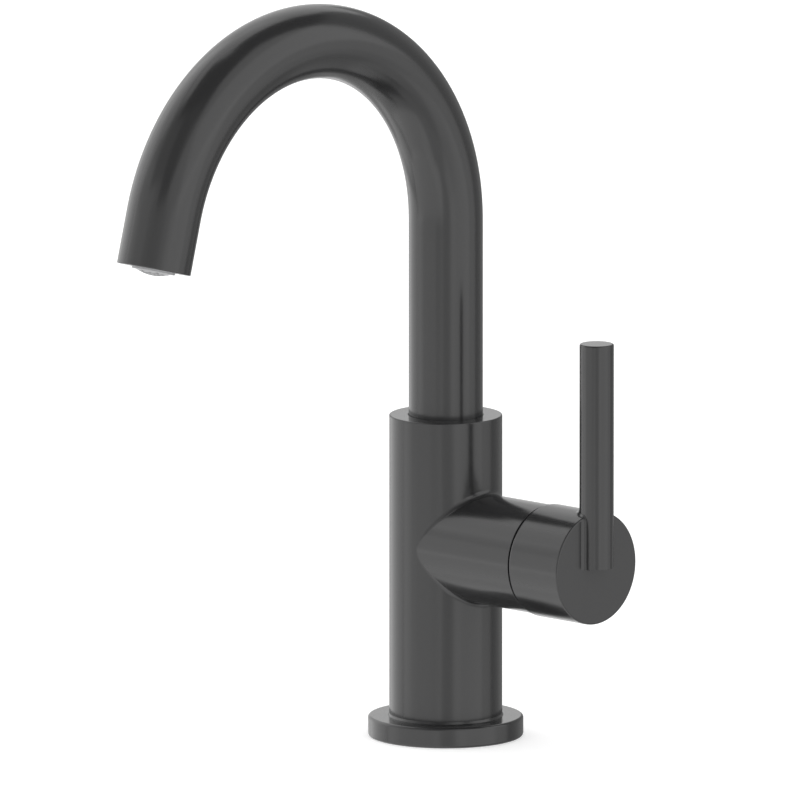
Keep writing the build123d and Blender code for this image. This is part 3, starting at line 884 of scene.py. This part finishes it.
@dataclass
class Outlet:
    """The collar in the spout's end and the aerator that peeps out of it.

    Attributes:
        place: The outlet's frame, in millimetres.
        collar_radius: Outer radius of the collar.
        collar_length: Its length.
        throat: Its bore behind the aerator.
        thread: Its bore round the aerator.
        thread_depth: Depth of that bore.
        collar_edge: Rounding of the collar's outer edge.
        thread_edge: Rounding of the bore's mouth.
        sleeve: Outer radius of the aerator's sleeve.
        sleeve_low: Where the sleeve starts.
        rim: Outer radius of the rim that shows.
        rim_height: How far the rim stands out.
        rim_edge: Rounding of the rim's outer edge.
        bore: The sleeve's bore.
        bore_edge: Rounding of that bore's mouth.
        core: Radius of the honeycomb core.
        core_low: Where the core starts.
        dome: Height of its dome.
        dome_steps: Rings on the dome.
        cell: Width of a cell.
        web: Wall between cells.
        cell_depth: Depth of a cell.
        comb: How far from the axis a cell's centre may lie.
        clear: How far above the dome the cutters start.
    """

    place: Matrix
    collar_radius: float = 11.95
    collar_length: float = 12.0
    throat: float = 6.5
    thread: float = 8.25
    thread_depth: float = 9.5
    collar_edge: float = 0.2
    thread_edge: float = 0.3
    sleeve: float = 8.2
    sleeve_low: float = -8.3
    rim: float = 7.95
    rim_height: float = 0.8
    rim_edge: float = 0.3
    bore: float = 6.45
    bore_edge: float = 0.15
    core: float = 6.4
    core_low: float = -6.3
    dome: float = 2.2
    dome_steps: int = 10
    cell: float = 1.25
    web: float = 0.3
    cell_depth: float = 3.5
    comb: float = 5.5
    clear: float = 1.0

    def build(self) -> None:
        """Make the collar, the sleeve and the core."""
        self.build_collar()
        self.build_sleeve()
        self.build_core()

    def build_collar(self) -> None:
        """Make the collar that holds the aerator."""
        outline = Outline(
            Corner(self.throat, -self.collar_length),
            Corner(self.collar_radius, -self.collar_length),
            Corner(self.collar_radius, 0.0, self.collar_edge),
            Corner(self.thread, 0.0, self.thread_edge),
            Corner(self.thread, -self.thread_depth),
            Corner(self.throat, -self.thread_depth),
        )
        collar = Workshop.turned("outlet_collar", outline.points, self.place)
        Workshop.fitted(collar, SATIN_BLACK, "spout", "outlet_ring")

    def build_sleeve(self) -> None:
        """Make the aerator's sleeve with its stepped rim."""
        outline = Outline(
            Corner(self.bore, self.sleeve_low),
            Corner(self.sleeve, self.sleeve_low),
            Corner(self.sleeve, 0.0),
            Corner(self.rim, 0.0),
            Corner(self.rim, self.rim_height, self.rim_edge),
            Corner(self.bore, self.rim_height, self.bore_edge),
        )
        sleeve = Workshop.turned("aerator_sleeve", outline.points, self.place)
        Workshop.fitted(sleeve, AERATOR_PLASTIC, "spout", "aerator_housing")

    def build_core(self) -> None:
        """Make the domed core and cut its honeycomb."""
        rise = self.dome - self.rim_height
        ball = (self.core**2 + rise**2) / (2 * rise)
        points = [(0.0, self.core_low), (self.core, self.core_low)]
        for step in range(self.dome_steps + 1):
            radius = self.core * (1 - step / self.dome_steps)
            points.append((radius, self.dome - ball + math.sqrt(ball**2 - radius**2)))
        core = Workshop.turned("aerator_comb", points)
        floor = (self.dome - self.cell_depth) * MM
        top = (self.dome + self.clear) * MM
        cutter = CombCutter(self.comb * MM, self.cell * MM, self.web * MM, floor, top)
        cutter.run(core, AERATOR_PLASTIC)
        scale = Matrix.Scale(MM, 4)
        core.data.transform(scale @ self.place @ scale.inverted())
        Workshop.fitted(core, AERATOR_PLASTIC, "spout", "aerator_core")


@dataclass
class Foot:
    """The round ring that covers the hole in the basin.

    Attributes:
        radius: Its outer radius.
        bore: Its bore.
        height: Its height.
        edge: Rounding of its outer edges.
        groove_inner: Inner radius of the seal's groove.
        groove_outer: Outer radius of that groove.
        groove_depth: Depth of the groove.
    """

    radius: float = 28.3
    bore: float = 17.55
    height: float = 7.5
    edge: float = 1.0
    groove_inner: float = 21.0
    groove_outer: float = 25.6
    groove_depth: float = 2.0

    def build(self) -> None:
        """Turn the ring and fit it."""
        outline = Outline(
            Corner(self.bore, 0.0),
            Corner(self.groove_inner, 0.0),
            Corner(self.groove_inner, self.groove_depth),
            Corner(self.groove_outer, self.groove_depth),
            Corner(self.groove_outer, 0.0),
            Corner(self.radius, 0.0, self.edge),
            Corner(self.radius, self.height, self.edge),
            Corner(self.bore, self.height),
        )
        ring = Workshop.turned("foot_ring", outline.points)
        Workshop.fitted(ring, SATIN_BLACK, "root", "deck_flange")


@dataclass
class Lever:
    """The upright round lever let into the face of the handle's cap.

    Attributes:
        reach: Distance of its axis from the body's axis.
        radius: Its radius.
        low: Height of its foot.
        high: Height of its top.
        edge: Rounding of its top edge.
        foot_edge: Rounding of its lower edge.
    """

    reach: float = 76.6
    radius: float = 6.25
    low: float = 71.5
    high: float = 153.8
    edge: float = 0.6
    foot_edge: float = 0.15

    def build(self) -> None:
        """Turn the lever and fit it."""
        outline = Outline(
            Corner(0.0, self.low),
            Corner(self.radius, self.low, self.foot_edge),
            Corner(self.radius, self.high, self.edge),
            Corner(0.0, self.high),
        )
        place = Matrix.Translation((self.reach, 0, 0))
        lever = Workshop.turned("lever", outline.points, place)
        Workshop.fitted(lever, SATIN_BLACK, "handle", "lever_rod")


@dataclass
class CarriedNodes:
    """The CAD nodes that show as they are, each in its own finish.

    Attributes:
        along_hub: Nodes that are turned about the hub's axis.
    """

    along_hub: tuple[str, ...] = ("cartridge_nut",)

    def dress(self) -> None:
        """Give every CAD node the finish of its slot."""
        for name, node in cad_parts.items():
            finish = SLOT_FINISHES[node.data.materials[0].name]
            if name in self.along_hub:
                finish = BRASS_ALONG_HUB
            node.data.materials.clear()
            node.data.materials.append(finish.material())
            log.info("%s: finish %s", name, finish.slot)


def direction(azimuth: float, elevation: float) -> Vector:
    """Give the direction from the faucet to something round it.

    Args:
        azimuth: Degrees round from -Y towards +X.
        elevation: Degrees above the horizon.

    Returns:
        A vector of length 1.
    """
    turn, rise = math.radians(azimuth), math.radians(elevation)
    flat = math.cos(rise)
    return Vector((math.sin(turn) * flat, -math.cos(turn) * flat, math.sin(rise)))


@dataclass(frozen=True)
class Panel:
    """A flat panel that stands round the faucet and faces it.

    Attributes:
        name: Its name.
        azimuth: Where its middle stands, in degrees round from -Y towards +X.
        elevation: Degrees of its middle above the horizon.
        wide: Its width in degrees, seen from the faucet.
        tall: Its height in degrees.
        level: What a softbox adds to the white surround, or what a card shows, where 1 is white.
        distance: Metres from the faucet's middle.
    """

    name: str
    azimuth: float
    elevation: float
    wide: float
    tall: float
    level: float
    distance: float = 2.4

    def size(self) -> tuple[float, float]:
        """Its width and height in metres."""
        angles = (self.wide, self.tall)
        return tuple(2 * self.distance * math.tan(math.radians(angle / 2)) for angle in angles)

    def place(self, middle: Vector) -> Matrix:
        """Find its frame.

        Args:
            middle: The faucet's middle, in metres.

        Returns:
            The frame in metres, with -Z towards the faucet.
        """
        away = direction(self.azimuth, self.elevation)
        turn = math.radians(self.azimuth)
        across = Vector((-math.cos(turn), -math.sin(turn), 0))
        facing = Matrix((across, away.cross(across), away)).transposed().to_4x4()
        return Matrix.Translation(middle + away * self.distance) @ facing


class Softbox(Panel):
    """A panel that gives soft light."""

    def build(self, middle: Vector) -> None:
        """Hang the lamp.

        Args:
            middle: The faucet's middle, in metres.
        """
        data = bpy.data.lights.new(self.name, "AREA")
        data.shape = "RECTANGLE"
        data.size, data.size_y = self.size()
        data.energy = self.level * math.pi * data.size * data.size_y
        lamp = bpy.data.objects.new(self.name, data)
        lamp.visible_camera = False
        lamp.matrix_world = self.place(middle)
        bpy.context.scene.collection.objects.link(lamp)


class ShadeCard(Panel):
    """A dark card that only glossy surfaces see, for the dark lines in their reflections."""

    CORNERS = ((-1, -1), (1, -1), (1, 1), (-1, 1))

    def build(self, middle: Vector) -> None:
        """Hang the card.

        Args:
            middle: The faucet's middle, in metres.
        """
        wide, tall = self.size()
        place = self.place(middle)
        made = bmesh.new()
        corners = (Vector((x * wide / 2, y * tall / 2, 0)) for x, y in self.CORNERS)
        made.faces.new([made.verts.new(place @ corner) for corner in corners])
        mesh = bpy.data.meshes.new(self.name)
        made.to_mesh(mesh)
        made.free()
        material, graph = empty_material(self.name)
        glow = graph.node("ShaderNodeEmission", inputs={"Strength": self.level})
        graph.node("ShaderNodeOutputMaterial", inputs={"Surface": glow[0]})
        mesh.materials.append(material)
        card = bpy.data.objects.new(self.name, mesh)
        card.visible_camera = card.visible_diffuse = False
        card.visible_shadow = card.visible_transmission = False
        bpy.context.scene.collection.objects.link(card)
        card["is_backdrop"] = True


@dataclass
class Studio:
    """The pale floor, the white surround, the softboxes and the shade cards.

    Glossy surfaces don't see the floor itself. In reflections the white surround takes its
    place, with the softboxes that stand lower than the floor as its brighter parts. The
    floor keeps their light from everything else.

    Attributes:
        middle: The faucet's middle.
        floor_radius: The floor's radius.
        floor_segments: Sides of its outline.
        floor_drop: How far the floor lies under the faucet.
        floor_glow: The part of the floor's white that isn't lamp light.
        floor_greys: The darkest and lightest grey of the floor.
        floor_clouds: Cells to the metre of their pattern.
        ambient: Strength of the surround's light on matt surfaces.
        panels: What stands round the faucet.
    """

    middle: Vector
    floor_radius: float = 6.0
    floor_segments: int = 128
    floor_drop: float = 0.00005
    floor_glow: float = 0.42
    floor_greys: tuple[float, float] = (0.79, 0.81)
    floor_clouds: float = 3.0
    ambient: float = 0.75
    panels: tuple[Softbox | ShadeCard, ...] = (
        Softbox("left_box", -80.2, 16.8, 54.5, 72.1, 0.60),
        Softbox("left_core_box", -75.2, 14.4, 22.8, 39.3, 0.32),
        Softbox("high_left_back_box", -124.5, 41.0, 72.3, 29.1, 0.25),
        Softbox("front_left_box", -43.1, 0.0, 26.2, 25.7, 0.63),
        Softbox("floor_front_box", -7.2, -32.5, 86.3, 40.9, 0.78),
        Softbox("floor_right_box", 53.1, -34.9, 47.1, 53.6, 0.19),
        Softbox("right_box", 98.3, 21.1, 92.6, 81.3, 0.25),
        Softbox("high_right_box", 115.3, 26.1, 72.6, 40.6, 0.45),
        Softbox("low_right_box", 93.0, -12.0, 62.2, 43.3, 0.48),
        Softbox("front_box", -6.7, -6.0, 41.6, 10.2, 0.59),
        Softbox("top_left_back_box", -73.3, 74.5, 67.9, 35.9, 0.45),
        Softbox("floor_under_box", -3.4, -69.1, 62.8, 34.1, 0.67),
        Softbox("low_left_back_box", -102.6, -40.5, 62.5, 25.0, 0.45),
        Softbox("front_strip_box", -33.5, 22.5, 63.9, 20.6, 0.30),
        ShadeCard("top_front_card", 14.4, 50.9, 64.7, 42.4, 0.61, 1.6),
        ShadeCard("top_card", 19.9, 73.5, 46.9, 39.1, 0.13, 1.56),
        ShadeCard("right_back_card", 174.3, 0.2, 47.6, 95.9, 0.40, 1.6),
        ShadeCard("back_card", 206.8, -7.0, 23.0, 66.0, 0.32, 1.6),
        ShadeCard("top_back_card", 169.2, 67.5, 30.2, 41.9, 0.10, 1.6),
        ShadeCard("low_back_card", 198.5, -45.8, 102.0, 21.2, 0.63, 1.4),
        ShadeCard("front_card", 28.9, 41.2, 25.1, 42.7, 0.33, 1.5),
    )

    def build(self) -> None:
        """Set up the whole studio."""
        bpy.context.scene.view_settings.view_transform = "Standard"
        self.build_surround()
        self.build_floor()
        for panel in self.panels:
            panel.build(self.middle)

    @staticmethod
    def background_rays(graph: Graph) -> Wire:
        """Tell the rays that see the background from those that light matt surfaces.

        Args:
            graph: The tree that asks.

        Returns:
            1 for the camera, reflections and glass, 0 for the rest.
        """
        path = graph.node("ShaderNodeLightPath")
        seen = path["Is Camera Ray"].at_least(path["Is Glossy Ray"])
        return seen.at_least(path["Is Transmission Ray"])

    def build_surround(self) -> None:
        """Make the surround white where it is seen and a plain soft light elsewhere."""
        world = bpy.data.worlds.new("surround")
        world.use_nodes = True
        world.node_tree.nodes.clear()
        graph = Graph(world.node_tree)
        strength = self.background_rays(graph) * (1.0 - self.ambient) + self.ambient
        inputs = {"Color": (1.0, 1.0, 1.0, 1.0), "Strength": strength}
        surround = graph.node("ShaderNodeBackground", inputs=inputs)
        graph.node("ShaderNodeOutputWorld", inputs={"Surface": surround[0]})
        bpy.context.scene.world = world

    def build_floor(self) -> None:
        """Lay the pale floor, which keeps the faucet's shadow."""
        made = bmesh.new()
        bmesh.ops.create_circle(
            made, cap_ends=True, segments=self.floor_segments, radius=self.floor_radius
        )
        bmesh.ops.translate(made, verts=made.verts, vec=(0, 0, -self.floor_drop))
        mesh = bpy.data.meshes.new("floor")
        made.to_mesh(mesh)
        made.free()
        floor = bpy.data.objects.new("floor", mesh)
        bpy.context.scene.collection.objects.link(floor)
        material, graph = empty_material("pale_floor")
        place = graph.node("ShaderNodeTexCoord")["Object"]
        dark, light = ((grey,) * 3 for grey in self.floor_greys)
        tone = graph.blend(graph.noise(place, self.floor_clouds), dark, light)
        matte = graph.node("ShaderNodeBsdfDiffuse", inputs={"Color": tone})
        strength = self.background_rays(graph) * self.floor_glow
        glow = graph.node("ShaderNodeEmission", inputs={"Strength": strength})
        both = graph.node("ShaderNodeAddShader", inputs={0: matte[0], 1: glow[0]})
        graph.node("ShaderNodeOutputMaterial", inputs={"Surface": both[0]})
        mesh.materials.append(material)
        floor.visible_glossy = False
        floor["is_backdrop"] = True


@dataclass(frozen=True)
class LongLens:
    """The camera: a lens so long that the view is all but free of perspective.

    Attributes:
        azimuth: Degrees round from -Y towards +X.
        elevation: Degrees above the horizon.
        aside: Where it looks, in metres to the right of the origin.
        above: Where it looks, in metres up the picture from the origin.
        distance: Metres from there.
        lens: Focal length in millimetres.
        sensor: Sensor width in millimetres.
        nearest: Metres to the nearest thing that it sees.
        farthest: Metres to the farthest thing.
    """

    azimuth: float = 44.66
    elevation: float = 10.05
    aside: float = -0.01661
    above: float = 0.12169
    distance: float = 12.128
    lens: float = 1500.0
    sensor: float = 36.0
    nearest: float = 1.0
    farthest: float = 40.0

    def build(self) -> None:
        """Set up the camera."""
        back = direction(self.azimuth, self.elevation)
        right = Vector((-back.y, back.x, 0)).normalized()
        up = back.cross(right)
        data = bpy.data.cameras.new("camera")
        data.lens = self.lens
        data.sensor_width = self.sensor
        data.clip_start, data.clip_end = self.nearest, self.farthest
        camera = bpy.data.objects.new("camera", data)
        camera.location = right * self.aside + up * self.above + back * self.distance
        camera.rotation_euler = (-back).to_track_quat("-Z", "Y").to_euler()
        bpy.context.scene.collection.objects.link(camera)
        bpy.context.scene.camera = camera


def main() -> None:
    """Build the faucet's dressed pieces and the studio."""
    logging.basicConfig(level=logging.INFO, format="%(name)s: %(message)s")
    cad_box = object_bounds()
    CarriedNodes().dress()
    spout = SpoutTube()
    spout.build()
    Outlet(spout.outlet()).build()
    Foot().build()
    Lever().build()
    Studio((cad_box[0] + cad_box[1]) / 2).build()
    LongLens().build()


if __name__ == "__main__":
    main()
